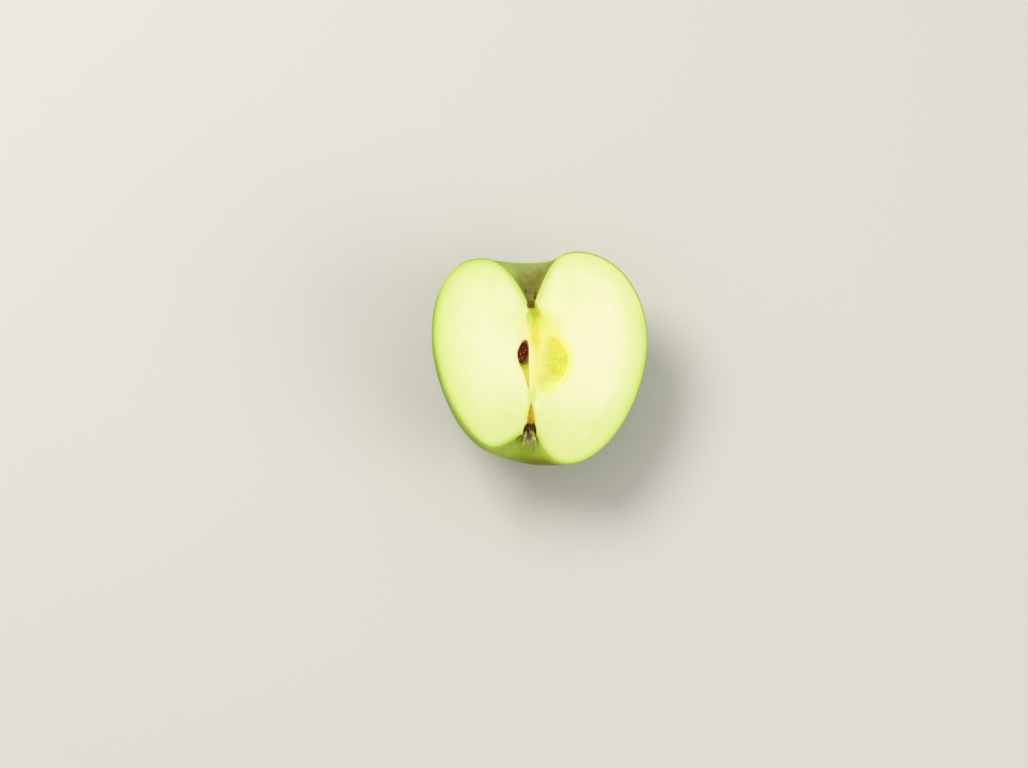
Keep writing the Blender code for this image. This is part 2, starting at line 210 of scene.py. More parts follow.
# Flesh: cream in the middle of each lobe, greener towards the skin and towards the calyx, moist.
# Its colour goes by the distance from the skin. A colour is as it shows on a screen, 0 to 255.
FLESH_BY_DISTANCE = (
    (0.0, (128, 158, 30)),
    (0.2, (176, 204, 66)),
    (0.5, (204, 227, 102)),
    (1.1, (217, 236, 134)),
    (2.2, (229, 241, 155)),
    (3.6, (236, 244, 170)),
    (6.5, (240, 246, 180)),
    (10.0, (244, 248, 191)),
    (17.0, (249, 250, 204)),
)
LIGHT_THROWN_BACK = 0.9


def tint(red, green, blue):
    """A colour that shows so on a screen, as the share of light that a surface throws back."""
    shown = np.array((red, green, blue)) / 255.0
    light = np.where(shown > 0.04045, ((shown + 0.055) / 1.055) ** 2.4, shown / 12.92)
    return (*(LIGHT_THROWN_BACK * light), 1.0)


class Value:
    """A socket of a material's nodes. Arithmetic on it adds Math nodes."""

    def __init__(self, socket):
        self.socket = socket

    def node(self, kind, settings=None, inputs=None, output=0):
        """Adds any other node: its settings first, then its sockets' values or links."""
        tree = self.socket.id_data
        made = tree.nodes.new(kind)
        settings = dict(settings or {})
        stops = settings.pop("stops", ())
        for name, setting in settings.items():
            setattr(made, name, setting)
        for place, (position, colour) in enumerate(stops):
            elements = made.color_ramp.elements
            if place >= len(elements):
                elements.new(1.0)
            elements[place].position = position
            elements[place].color = colour
        for name, value in (inputs or {}).items():
            if isinstance(value, Value):
                tree.links.new(value.socket, made.inputs[name])
            else:
                made.inputs[name].default_value = value
        return Value(made.outputs[output])

    def math(self, operation, first, second=0.0):
        return self.node("ShaderNodeMath", {"operation": operation}, {0: first, 1: second})

    def __add__(self, other):
        return self.math("ADD", self, other)

    def __sub__(self, other):
        return self.math("SUBTRACT", self, other)

    def __rsub__(self, other):
        return self.math("SUBTRACT", other, self)

    def __mul__(self, other):
        return self.math("MULTIPLY", self, other)

    def __truediv__(self, other):
        return self.math("DIVIDE", self, other)

    def __pow__(self, other):
        return self.math("POWER", self, other)

    def __abs__(self):
        return self.math("ABSOLUTE", self)

    __radd__ = __add__
    __rmul__ = __mul__

    def ease(self, start, end):
        """0 before start, 1 after end, and a smooth step between them; falls if start is past end."""
        low, high = min(start, end), max(start, end)
        inputs = {"Value": self, "From Min": low, "From Max": high}
        if start > end:
            inputs.update({"To Min": 1.0, "To Max": 0.0})
        return self.node("ShaderNodeMapRange", {"interpolation_type": "SMOOTHSTEP"}, inputs)

    def paint(self, under, over):
        """One colour laid on another, as thick as this mask."""
        under, over = (shown if isinstance(shown, Value) else tint(*shown) for shown in (under, over))
        return self.node("ShaderNodeMix", {"data_type": "RGBA"}, {0: self, 6: under, 7: over}, output=2)

    def grain(self, where, size, detail=2.0, stretch=(1.0, 1.0, 1.0)):
        """Noise of this grain size in mm, mostly between 0.3 and 0.7."""
        scale = tuple(1.0 / (size * part) for part in stretch)
        scaled = self.node("ShaderNodeVectorMath", {"operation": "MULTIPLY"}, {0: where, 1: scale})
        return self.node("ShaderNodeTexNoise", None, {"Vector": scaled, "Scale": 1.0, "Detail": detail})

    def mark(self, name, output=2):
        """A mark that the mesh carries: a number, or a place with output 1."""
        return self.node("ShaderNodeAttribute", {"attribute_name": name}, None, output)

    def fruit_place(self):
        """The place in the fruit's frame, whole, then as across, inward and height."""
        spot = self.mark("fruit", output=1)
        parts = self.node("ShaderNodeSeparateXYZ", None, {0: spot}).socket.node.outputs
        return spot, *(Value(part) for part in parts)


def new_material(name, settings):
    """A material with these values, and its surface, on which its colours and grain are built."""
    material = bpy.data.materials.new(name)
    material.use_nodes = True
    shader = material.node_tree.nodes["Principled BSDF"]
    for socket, value in settings.items():
        shader.inputs[socket].default_value = value
    return material, Value(shader.outputs[0])


def coated(colour, *coats):
    """A colour with thin coats over it, each as (mask, colour)."""
    for mask, over in coats:
        colour = mask.paint(colour, over)
    return colour


def finish_surface(surface, colour, roughness=None, coat=None, height=None, depth=0.0):
    """Links a surface's colour and what else varies over it. The relief is this deep in mm."""
    varied = {"Base Color": colour, "Roughness": roughness, "Coat Weight": coat}
    if height is not None:
        varied["Normal"] = surface.node("ShaderNodeBump", None, {"Height": height, "Distance": MM * depth})
    for name, value in varied.items():
        if value is not None:
            surface.socket.id_data.links.new(value.socket, surface.socket.node.inputs[name])


flesh_surface = {
    "Roughness": 0.4,
    "Specular IOR Level": 0.3,
    "Subsurface Weight": 0.15,
    "Subsurface Radius": (1.0, 0.9, 0.5),
    "Subsurface Scale": 0.002,
}
flesh, surface = new_material("moist_flesh", flesh_surface)
spot, across, _, height = surface.fruit_place()
cells = surface.grain(spot, 0.45)
patches = surface.grain(spot, 3.5, detail=3.0)
clouds = surface.grain(spot, 14.0)
streaks = surface.grain(spot, 2.2, stretch=(1.0, 1.0, 5.0))
from_skin = surface.mark("rim")
uneven = (patches - 0.5) * 0.9 + (streaks - 0.5) * 0.8
near_stalk = abs(across).ease(15.0, 7.0) * height.ease(14.0, 20.0)
near_calyx = abs(across).ease(15.0, 9.0) * height.ease(-22.0, -26.0)
wide_shoulder = (across * 0.5 + height * 1.2).ease(34.0, 52.0)
depth_in = from_skin * (near_stalk * 1.6 + 1.0) + uneven * from_skin.ease(0.2, 2.5) + (cells - 0.5) * 0.2
depth_in = depth_in + wide_shoulder * from_skin.ease(0.3, 1.2) * 1.8 + across.ease(-22.0, -34.0) * 0.35
last_distance = FLESH_BY_DISTANCE[-1][0]
stops = [(distance / last_distance, tint(*shown)) for distance, shown in FLESH_BY_DISTANCE]
colour = surface.node("ShaderNodeValToRGB", {"stops": stops}, {0: depth_in / last_distance})
hollow_edge = across.ease(-1.0, 1.0).paint((206, 228, 112), (226, 228, 120))
greener = (height * -1.0 + (clouds - 0.5) * 18.0).ease(4.0, 30.0) * from_skin.ease(0.5, 4.0)
warmer = ((clouds - 0.5) * 0.8 + across / 80.0).ease(0.0, 0.45) * depth_in.ease(4.0, 13.0)
paler = (patches - 0.5).ease(0.02, 0.2) * depth_in.ease(3.0, 8.0)
colour = coated(
    colour,
    (from_skin.ease(2.6, 0.0) * near_stalk * 0.75, hollow_edge),
    (from_skin.ease(1.6, 0.0) * near_calyx * 0.75, (204, 224, 98)),
    (greener * 0.75, (234, 241, 160)),
    (warmer * height.ease(-28.0, -8.0), (252, 250, 210)),
    (paler * 0.25, (252, 252, 222)),
)


def oval(on, middle, size, soft=0.5, wobble=0.0):
    """A mask for an oval spot, 1 in its middle, with a soft edge that wobbles.

    What it lies on is (across, height, patches, cells), the last two for its unevenness.
    """
    across, height, patches, _ = on
    out = (across - middle[0]) / size[0]
    up = (height - middle[1]) / size[1]
    reach = (out * out + up * up) ** 0.5 + (patches - 0.5) * wobble
    return reach.ease(1.0 + soft, 1.0 - soft)


def strand(on, start, end, width, soft=0.6):
    """A mask for a thin strand between two places, tapering to its far end."""
    across, height, patches, cells = on
    run = np.array(end) - start
    length = float(np.linalg.norm(run))
    run = run / length
    along = (across - start[0]) * run[0] + (height - start[1]) * run[1]
    aside = abs((across - start[0]) * run[1] - (height - start[1]) * run[0] + (patches - 0.5) * 1.1)
    taper = 1.0 - along.ease(0.3 * length, length) * 0.45
    ends = along.ease(-0.4, 1.2) * along.ease(1.05 * length, 0.35 * length)
    rough = aside / taper + (cells - 0.5) * 0.3 * width
    return rough.ease(width * (1.0 + soft), width * (1.0 - soft)) * ends


# Core tissue in the same flesh: a yellow glow round the axis, its pale strip, the green strand
# below the stalk with its branches, an ochre streak between the chambers, a pale spot beside the
# left one, and then the edges of the chambers, of the calyx tube and of the stalk's socket.
OCHRE_STREAK = ((1.5, 7.6), (1.5, 4.4), 0.7, 0.9)
OCHRE = (243, 232, 78)
cut = (across, height, patches, cells)
colour = coated(
    colour,
    (oval(cut, (3.4, 3.0), (8.0, 14.0), 0.45, 0.6) * 0.6, (248, 246, 150)),
    (oval(cut, (6.4, 10.2), (5.0, 3.6), 0.7, 0.8) * 0.5, (242, 246, 140)),
    (oval(cut, (2.8, 12.5), (3.6, 5.0), 0.6, 0.9) * 0.65, (238, 242, 104)),
    (oval(cut, (0.9, 14.6), (2.0, 4.4), 0.6, 0.7) * 0.8, (216, 227, 58)),
    (oval(cut, (0.2, -12.0), (1.5, 4.4), 0.6, 0.5) * 0.85, (222, 235, 112)),
    (oval(cut, (0.2, -2.4), (1.2, 10.2), 0.35) * 0.85, (249, 245, 158)),
    (oval(cut, (-2.6, 7.4), (1.7, 3.0), 0.7, 0.5) * 0.6, (250, 238, 190)),
    (oval(cut, *OCHRE_STREAK) * 0.9, OCHRE),
    (strand(cut, (0.8, 19.2), (1.2, 12.0), 1.1, 0.9) * 0.9, (174, 195, 6)),
    (strand(cut, (1.0, 18.2), (4.8, 13.0), 0.85, 0.9) * 0.7, (194, 210, 30)),
    (strand(cut, (-0.3, 18.6), (-1.6, 10.2), 0.6, 0.95) * 0.5, (184, 204, 54)),
    (strand(cut, (-0.1, 15.8), (0.0, 10.4), 0.6, 0.95) * 0.6, (240, 242, 96)),
    (oval(cut, (1.4, 16.2), (1.5, 1.6), 0.8, 2.2) * 0.45, (186, 206, 16)),
    (strand(cut, (0.85, 16.6), (0.84, 9.6), 0.16, 0.95) * 0.2, (140, 146, 26)),
    (oval(cut, (1.7, -6.2), (0.8, 1.5), 0.6, 0.5) * 0.6, (240, 243, 112)),
    (oval(cut, (4.9, 7.8), (0.8, 0.9), 0.7) * 0.8, (253, 250, 190)),
)
from_lens = surface.mark("lens") + (patches - 0.5) * 1.2
from_slit = surface.mark("slit")
from_tube = surface.mark("tube") + (patches - 0.5) * 0.5
slit_halo = across.ease(-2.6, -1.4).paint((232, 230, 152), (252, 247, 190))
beside_tail = from_slit.ease(-0.55, -0.2) * height.ease(-3.5, -6.0)
beside_tail = beside_tail * height.ease(-11.6, -9.6) * across.ease(-0.4, -0.9)
bell_rim = from_tube.ease(0.35, 0.0) * height.ease(-22.6, -23.6)
colour = coated(
    colour,
    (from_lens.ease(-3.6, -0.6) * across.ease(1.5, 7.0) * 0.75, (248, 250, 136)),
    (from_slit.ease(-1.1, -0.1) * 0.7, slit_halo),
    (beside_tail * 0.85, (223, 222, 92)),
    (from_tube.ease(1.5, 0.2) * 0.75, (236, 230, 84)),
    (from_tube.ease(0.3, 0.05) * 0.5, (176, 146, 30)),
    (bell_rim * 0.6, (120, 104, 30)),
    (oval(cut, (0.2, 18.9), (1.8, 1.8), 0.4, 0.8) * 0.7, (178, 168, 52)),
)
finish_surface(surface, colour, (cells - 0.5) * 0.3 + 0.4, height=cells + patches * 1.5, depth=0.08)

# Skin: lime green with pale pores, paler streaks from stalk to calyx, a grey-green dull stalk
# hollow with brown russet at its foot, and yellower towards the calyx, where it puckers.
skin_surface = {
    "Roughness": 0.4,
    "Specular IOR Level": 0.02,
    "Subsurface Weight": 0.3,
    "Subsurface Radius": (0.8, 1.0, 0.3),
    "Subsurface Scale": 0.003,
    "Coat IOR": 1.4,
    "Coat Roughness": 0.28,
}
skin, surface = new_material("waxy_skin", skin_surface)
spot, across, inward, height = surface.fruit_place()
from_core = (across**2.0 + inward**2.0) ** 0.5
clouds = surface.grain(spot, 15.0)
mottle = surface.grain(spot, 1.6, detail=3.0)
streaks = surface.grain(spot, 1.7, detail=3.0, stretch=(1.0, 1.0, 8.0))
broad_streaks = surface.grain(spot, 5.0, stretch=(1.0, 1.0, 5.0))
pore_pattern = surface.node("ShaderNodeTexVoronoi", None, {"Vector": spot, "Scale": 0.4})
base_glow = (height * -1.0 + (clouds - 0.5) * 14.0).ease(14.0, 36.0)
upper = height.ease(12.0, 18.0)
in_hollow = (from_core + (mottle - 0.5) * 3.0 + (streaks - 0.5) * 8.0).ease(18.0, 8.0) * upper
# Painted light: the stalk hollow's left wall is made a lighter lime, as if the light fell on it.
painted_light_on_left_wall = (across * -1.0 + (clouds - 0.5) * 8.0).ease(1.5, 6.5) * in_hollow
# Painted sheen: a pale grey-green band along the hollow's back rim.
painted_sheen_on_hollow_rim = (height + (mottle - 0.5) * 3.0).ease(29.5, 34.8)
painted_sheen_on_hollow_rim = painted_sheen_on_hollow_rim * (from_core + (streaks - 0.5) * 6.0).ease(20.5, 16.5)
# Painted highlight: a thin pale line along the top of the hollow's back rim.
crest = (height + (mottle - 0.5) * 0.8).ease(35.7, 36.4) * from_core.ease(19.0, 16.8)
russet = (from_core + (streaks - 0.5) * 6.0 + (mottle - 0.5) * 3.0 - across * 0.4).ease(9.0, 2.0) * upper
crusts = surface.grain(spot, 1.1, detail=3.0).ease(0.58, 0.66) * from_core.ease(5.5, 3.0) * upper
at_calyx = height.ease(-22.0, -26.0) * from_core.ease(20.0, 12.0)
calyx_streaks = at_calyx * broad_streaks.ease(0.44, 0.66) * mottle.ease(0.3, 0.6)
# Painted light: the calyx basin's wall beside the cut, on the wide side, is made a brighter yellow-green.
painted_light_beside_cut = at_calyx * inward.ease(9.0, 1.5) * across.ease(2.0, 5.5)
fold = surface.mark("fold") * (mottle + 0.5)
# Painted shade: darker green skin on the narrow side, away from the cut.
painted_shade_far_side = (across * -1.0 + (mottle - 0.5) * 4.0).ease(12.0, 30.0)
painted_shade_far_side = painted_shade_far_side * (inward + (mottle - 0.5) * 4.0).ease(3.0, 14.0)
# Painted shade: darker olive round the outer rim of the calyx end.
painted_shade_low_edge = (height + (mottle - 0.5) * 1.5).ease(-32.6, -36.2) * inward.ease(1.0, 8.0)
# Painted light: brighter lime skin next to the cut, as if lit through the flesh, most on the hollow's left
# wall.
painted_light_by_cut = (inward + (mottle - 0.5) * 1.6).ease(4.5, 0.2) * (1.0 - in_hollow * 0.75 + painted_light_on_left_wall * 0.45)
pore = (pore_pattern + (mottle - 0.5) * 0.1).ease(0.15, 0.08)
pore = pore * (1.0 - in_hollow) * (1.0 - at_calyx) * clouds.ease(0.3, 0.6)
colour = coated(
    clouds.ease(0.36, 0.64).paint((138, 174, 36), (158, 190, 52)),
    (broad_streaks.ease(0.5, 0.72) * 0.6, (176, 202, 70)),
    (streaks.ease(0.5, 0.72) * 0.4, (182, 205, 84)),
    (streaks.ease(0.48, 0.3) * 0.35, (116, 154, 24)),
    (base_glow * 0.6, (168, 184, 46)),
    (in_hollow * 0.9, (150, 158, 80)),
    (painted_light_on_left_wall * 0.85, (194, 218, 84)),
    (painted_sheen_on_hollow_rim * 0.6, (172, 184, 112)),
    (crest * 0.6, (206, 218, 150)),
    (russet * 0.85, (132, 118, 46)),
    (crusts * 0.5, (70, 54, 10)),
    (at_calyx * 0.8, (180, 202, 66)),
    (calyx_streaks * 0.45, (206, 218, 124)),
    (painted_light_beside_cut * 0.95, (206, 230, 30)),
    # Painted shade in the valleys of the puckers, and painted light on their ridges.
    (fold.ease(-0.2, -0.8) * 0.55, (100, 126, 22)),
    (fold.ease(0.1, 0.7) * 0.4, (190, 208, 96)),
    (painted_shade_far_side * 0.75, (106, 134, 6)),
    (painted_shade_low_edge * 0.85, (126, 126, 4)),
    (painted_light_by_cut * 0.85, (206, 230, 98)),
    (pore * 0.55, (210, 220, 146)),
)
cavity = (across - inward * 0.25, height - inward * 0.15, mottle, mottle)
in_cavity = from_core.ease(12.0, 9.0)
# Painted shade in two creases of the calyx basin, as dark green strands; then dark spots low in the stalk
# hollow.
colour = coated(
    colour,
    (strand(cavity, (-3.2, -27.0), (-6.6, -30.6), 0.45, 0.8) * 0.7 * in_cavity, (92, 118, 20)),
    (strand(cavity, (1.8, -28.0), (3.5, -30.3), 0.45, 0.8) * 0.5 * in_cavity, (124, 126, 30)),
    (oval(cavity, (-1.8, 24.0), (0.5, 0.7), 0.7, 0.8) * 0.75 * in_cavity, (92, 86, 24)),
    (oval(cavity, (1.5, 23.1), (0.5, 0.7), 0.7, 0.8) * 0.75 * in_cavity, (92, 80, 16)),
    (oval(cavity, (1.4, 21.6), (0.6, 0.9), 0.7, 0.8) * 0.85 * in_cavity, (78, 70, 0)),
)
roughness = (mottle - 0.5) * 0.25 + 0.36 + in_hollow * 0.3
gloss = inward.ease(9.0, 22.0) * (1.0 - at_calyx) * (1.0 - in_hollow) * 0.8
finish_surface(surface, colour, roughness, gloss, mottle + pore * 1.2 + crusts * 3.0, 0.05)

# Chamber lining: the tough clear skin of the two opened seed chambers, glossy and yellow. The
# left one, a slit, has a painted shadow under its seed and is deeper in colour down its tail;
# the right one has painted shade, a deeper yellow, where it is deeper, and it is wrinkled.
lining_surface = {
    "Roughness": 0.35,
    "Specular IOR Level": 0.12,
    "Subsurface Weight": 0.4,
    "Subsurface Radius": (1.0, 0.9, 0.4),
    "Subsurface Scale": 0.003,
}
lining, surface = new_material("chamber_lining", lining_surface)
spot, across, inward, height = surface.fruit_place()
veins = surface.grain(spot, 0.9, detail=3.0, stretch=(1.6, 1.0, 0.7))
patches = surface.grain(spot, 0.8, detail=3.0)
wrinkles = surface.grain(spot, 1.5, detail=1.0, stretch=(2.2, 1.0, 1.0))
wall = (across, height, patches, patches)
# Painted shade: a darker, deeper yellow towards the lens chamber's deep right side.
deep = (across - abs(height + 1.0) * 0.2 + (veins - 0.5) * 3.0 + (patches - 0.5) * 2.0).ease(3.0, 8.0)
low_end = (height * -1.0 + (veins - 0.5) * 3.0).ease(4.0, 7.5) * across.ease(1.8, 4.0)
from_edge = surface.mark("lens") + (patches - 0.5) * 1.4
lens_colour = coated(
    deep.paint((252, 248, 156), (235, 236, 92)),
    (low_end * 0.7, (230, 236, 128)),
    (oval(wall, (9.8, 4.2), (2.9, 3.2), 0.6, 1.2) * 0.7, (252, 241, 104)),
    (oval(wall, (9.6, -4.4), (2.8, 1.2), 0.6, 1.4) * 0.6, (226, 218, 88)),
    (oval(wall, (11.6, -1.6), (1.6, 2.6), 0.7, 0.9) * 0.6, (222, 228, 62)),
    (wrinkles.ease(0.54, 0.72) * across.ease(3.0, 8.0) * 0.35, (250, 248, 158)),
    (wrinkles.ease(0.46, 0.28) * across.ease(3.0, 8.0) * 0.35, (220, 220, 72)),
    (oval(wall, (9.2, -1.0), (1.7, 0.5), 0.9, 2.2) * 0.55, (248, 246, 168)),
    (from_edge.ease(2.6, 0.0) * across.ease(5.5, 2.6) * 0.8, (250, 246, 158)),
    (oval(wall, *OCHRE_STREAK) * 0.9, OCHRE),
    (from_edge.ease(1.6, 0.2) * height.ease(-7.0, -9.5) * 0.8, (240, 245, 160)),
)
# Painted shadow: darker olive yellow in the slit just below the seed.
painted_shadow_under_seed = height.ease(-5.4, -3.6) * height.ease(0.6, -0.8) * inward.ease(0.05, 0.5)
slit_colour = height.ease(1.0, -5.5).paint((252, 238, 176), (232, 230, 86))
slit_colour = coated(slit_colour, (painted_shadow_under_seed * 0.8, (214, 202, 26)))
colour = across.ease(0.8, 1.2).paint(slit_colour, lens_colour)
finish_surface(surface, colour, height=veins + wrinkles, depth=0.1)

# Tube lining: dry ochre tissue down the calyx tube, and dark brown in the bell and the socket.
tube_lining, surface = new_material("tube_lining", {"Roughness": 0.6, "Specular IOR Level": 0.08})
spot, across, _, height = surface.fruit_place()
fibres = surface.grain(spot, 0.35, stretch=(1.0, 1.0, 5.0))
flecks = surface.grain(spot, 0.5, detail=3.0, stretch=(1.0, 1.0, 1.6))
colour = coated(
    fibres.ease(0.3, 0.7).paint((206, 174, 24), (242, 220, 76)),
    (flecks.ease(0.52, 0.66) * 0.7, (154, 130, 24)),
    (abs(across + (fibres - 0.5) * 0.8).ease(0.5, 0.1) * 0.4, (196, 144, 34)),
    ((height + (fibres - 0.5) * 1.4).ease(-21.8, -24.0), (84, 54, 12)),
    (height.ease(10.0, 12.0), (190, 166, 70)),
)
finish_surface(surface, colour, height=fibres, depth=0.1)

# The two opened seed chambers: outline on the cut as (x, z), depth, deepest place, form, which is
# how long the hollow stays wide as it deepens, then how sharply it closes, and tail, which is the
# heights between which it runs out, then the share of its depth that is left there.
SLIT_OUTLINE = (
    (-1.5, 6.4), (-0.65, 3.6), (-0.8, -5.3), (-0.7, -11.0),
    (-2.1, -5.8), (-4.1, -2.1), (-4.8, 1.6), (-3.35, 5.3),
)
LENS_OUTLINE = (
    (2.1, 6.1), (7.4, 8.0), (12.1, 4.4), (13.5, -0.8),
    (11.3, -6.3), (5.8, -11.2), (2.3, -11.4), (1.6, -3.8),
)
CHAMBERS = {
    "slit": (SLIT_OUTLINE, 3.3, (-2.5, 1.2), (3.8, 3.8), (0.0, -4.8, 0.14)),
    "lens": (LENS_OUTLINE, 1.7, (9.8, -1.9), (1.0, 1.3), (-7.0, -12.5, 0.7)),
}
CHAMBER_STEPS = 12
CHAMBER_RINGS = 22
CHAMBER_RUFFLE = 0.1
RIM_ROWS = (0.16, 0.4, 0.8, 1.4)
ROOM_BY_RIM = 0.3
ROOM_BY_CHAMBER = 0.2
FINE_GRID = 0.42
COARSE_GRID = 1.15
CORE_MIDDLE = (0.0, 1.0)
CORE_REACH = (15.0, 20.0)
KNIFE_WAVE = 0.1
LIP_DEPTH = 0.12
LIP_WIDTH = 0.3
SKIN_WAVE = 0.3
SKIN_WAVE_LENGTH = 13.0
SKIN_WAVE_SEED = 4
SKIN_FADE = 0.35
SKIN_FADE_STEPS = 12.0
PUCKER_DEPTH = 0.3
PUCKER_DISTANCE = 3.9
PUCKER_WIDTH = 1.5
PUCKER_TOP = -20.0
PUCKER_COUNT = 7
SMALL_PUCKER_COUNT = 12
FLESH_FACE, SKIN_FACE, CHAMBER_FACE, TUBE_FACE = range(4)


def smooth_loop(corners, steps):
    """A closed Catmull-Rom curve through the corners."""
    corners = np.asarray(corners, dtype=float)
    points = []
    for place in range(len(corners)):
        before, here, after, next_after = (corners[(place + shift) % len(corners)] for shift in (-1, 0, 1, 2))
        for t in np.arange(steps) / steps:
            bend = 2.0 * before - 5.0 * here + 4.0 * after - next_after
            swing = 3.0 * (here - after) + next_after - before
            points.append(here + 0.5 * (t * (after - before) + t**2 * bend + t**3 * swing))
    return np.array(points)


def distance_to(points, line, closed=True):
    """How far each point is from a line of straight stretches."""
    best = np.full(len(points), np.inf)
    ends = np.roll(line, -1, axis=0) if closed else line[1:]
    for start, end in zip(line, ends):
        along = end - start
        t = np.clip((points - start) @ along / max(along @ along, 1e-9), 0.0, 1.0)
        best = np.minimum(best, np.linalg.norm(points - start - t[:, None] * along, axis=1))
    return best


def inside(points, loop):
    """Which points lie inside a closed loop."""
    x, z = points.T
    within = np.zeros(len(points), dtype=bool)
    for (x0, z0), (x1, z1) in zip(loop, np.roll(loop, -1, axis=0)):
        if z0 != z1:
            within ^= ((z0 > z) != (z1 > z)) & (x < x0 + (x1 - x0) * (z - z0) / (z1 - z0))
    return within


def grid(spacing, loop):
    """Points in staggered rows over a loop's box."""
    low, high = loop.min(axis=0), loop.max(axis=0)
    points = []
    for row, z in enumerate(np.arange(low[1], high[1], spacing * 0.87)):
        x = np.arange(low[0] + 0.5 * spacing * (row % 2), high[0], spacing)
        points.append(np.column_stack((x, np.full_like(x, z))))
    return np.concatenate(points)


def turned_skin():
    """Rings of points from the wide side's cut edge, round the back, to the narrow side's.

    Each point comes with its fold: how far the puckers round the calyx lift or sink it there.
    """
    noise.seed_set(SKIN_WAVE_SEED)
    rings, folds = [], []
    for turn in np.linspace(0.0, math.pi, TURN_STEPS + 1):
        ring = turned(fruit_outline(turn), turn)
        place = np.arange(len(ring))
        below_socket = np.clip((place - SKIN_START) / HOLLOW_STEPS, 0.0, 1.0)
        above_bell = np.clip((SKIN_END - place) / SKIN_FADE_STEPS, 0.0, 1.0)
        off_cut = min(1.0, math.sin(turn) / SKIN_FADE)
        for point, share in zip(ring, below_socket * above_bell * off_cut):
            point += share * SKIN_WAVE * np.array(noise.noise_vector(Vector(point / SKIN_WAVE_LENGTH)))
        from_core = np.hypot(ring[:, 0], ring[:, 1])
        distance = PUCKER_DISTANCE * (1.0 + 0.5 * noise.noise(Vector((4.0 * turn, 0.0, 5.0))))
        pucker = np.exp(-(((from_core - distance) / PUCKER_WIDTH) ** 2)) * (ring[:, 2] < PUCKER_TOP)
        ripple = math.cos(PUCKER_COUNT * turn + 0.9) + 0.6 * math.cos(SMALL_PUCKER_COUNT * turn + 2.0)
        fold = pucker * abs(math.cos(turn)) * ripple
        ring[:, 2] -= off_cut * PUCKER_DEPTH * fold
        rings.append(ring)
        folds.append(fold)
    return rings, folds


def ring_corner(step, place, count):
    """The number of a point of a half-turned solid, whose first two points are its ends."""
    return 2 + step * count + place


def half_turn_faces(steps, count):
    """The faces round the back of a half-turned solid, by steps of its turn."""
    faces = []
    for step in range(steps):
        here = [ring_corner(step, place, count) for place in range(count)]
        after = [ring_corner(step + 1, place, count) for place in range(count)]
        faces.append((0, here[0], after[0]))
        faces += zip(here[:-1], here[1:], after[1:], after[:-1])
        faces.append((here[-1], 1, after[-1]))
    return faces


def points_of_cut(rim, loops):
    """Points between the cut's rim and its chambers: rows along the rim, a finer grid round the core."""
    edge = np.roll(rim, -1, axis=0) - np.roll(rim, 1, axis=0)
    outward = np.column_stack((edge[:, 1], -edge[:, 0])) / np.linalg.norm(edge, axis=1)[:, None]
    rows = np.concatenate([rim + side * row * outward for row in RIM_ROWS for side in (-1.0, 1.0)])
    rows = rows[distance_to(rows, rim) > 0.9 * RIM_ROWS[0]]
    fine, coarse = grid(FINE_GRID, rim), grid(COARSE_GRID, rim)
    fine = fine[np.hypot(*((fine - CORE_MIDDLE) / CORE_REACH).T) < 1.0]
    coarse = coarse[np.hypot(*((coarse - CORE_MIDDLE) / CORE_REACH).T) > 1.02]
    body = np.concatenate((fine, coarse))
    body = body[distance_to(body, rim) > RIM_ROWS[-1] + ROOM_BY_RIM]
    points = np.concatenate((rows, body))
    points = points[inside(points, rim)]
    for loop in loops:
        points = points[~inside(points, loop)]
        points = points[distance_to(points, loop) > ROOM_BY_CHAMBER]
    return points


def triangles_of_cut(points, rim, loops):
    """Triangles between the points of the cut, which start with its rim and then its chambers' edges."""
    edges, start = [], 0
    for loop in (rim, *loops):
        edges += [(start + place, start + (place + 1) % len(loop)) for place in range(len(loop))]
        start += len(loop)
    spots = [Vector(point) for point in points]
    _, _, faces, origins, _, _ = delaunay_2d_cdt(spots, edges, [], 0, 1e-6, True)
    faces = np.array([[origins[corner][0] for corner in face] for face in faces])
    middles = points[faces].mean(axis=1)
    keep = inside(middles, rim)
    for loop in loops:
        keep &= ~inside(middles, loop)
    return faces[keep]


def sink_of_cut(places, rim, loops):
    """How deep the cut lies: the chambers' edges are soft, and the knife wavered."""
    lip = np.zeros(len(places))
    for loop in loops:
        lip = np.maximum(lip, LIP_DEPTH * np.exp(-((distance_to(places, loop) / LIP_WIDTH) ** 2)))
    lip *= np.where(places[:, 0] > 0.0, np.clip((places[:, 0] - 3.0) / 3.0, 0.0, 1.0), 1.0)
    off_rim = np.clip(distance_to(places, rim) / 4.0, 0.0, 1.0)
    waves = np.array([0.5 + 0.5 * noise.noise(Vector((x / 30.0, 0.0, z / 11.0))) for x, z in places])
    return lip + KNIFE_WAVE * off_rim * waves


def chamber(edge, loop, start, depth, floor, form, tail):
    """Points, numbered from start, and faces of a chamber, from its edge on the cut to its floor."""
    points, faces, above = [], [], edge
    for share in np.sin(np.linspace(0.0, 0.5 * math.pi, CHAMBER_RINGS + 1))[1:-1]:
        size = (1.0 - share ** form[0]) ** (1.0 / form[1])
        here = range(start + len(points), start + len(points) + len(loop))
        for x, z in floor + size * (loop - floor):
            ruffle = CHAMBER_RUFFLE * noise.noise(Vector((x / 1.3, 3.0, z / 0.9)))
            down = min(max((tail[0] - z) / (tail[0] - tail[1]), 0.0), 1.0)
            left = 1.0 - (1.0 - tail[2]) * down**2 * (3.0 - 2.0 * down)
            points.append((x, (depth + ruffle) * share * left, z))
        faces += zip(above, np.roll(above, -1).tolist(), np.roll(here, -1).tolist(), here)
        above = here
    points.append((floor[0], depth, floor[1]))
    bottom = start + len(points) - 1
    faces += [(corner, after, bottom) for corner, after in zip(above, np.roll(above, -1).tolist())]
    return points, faces


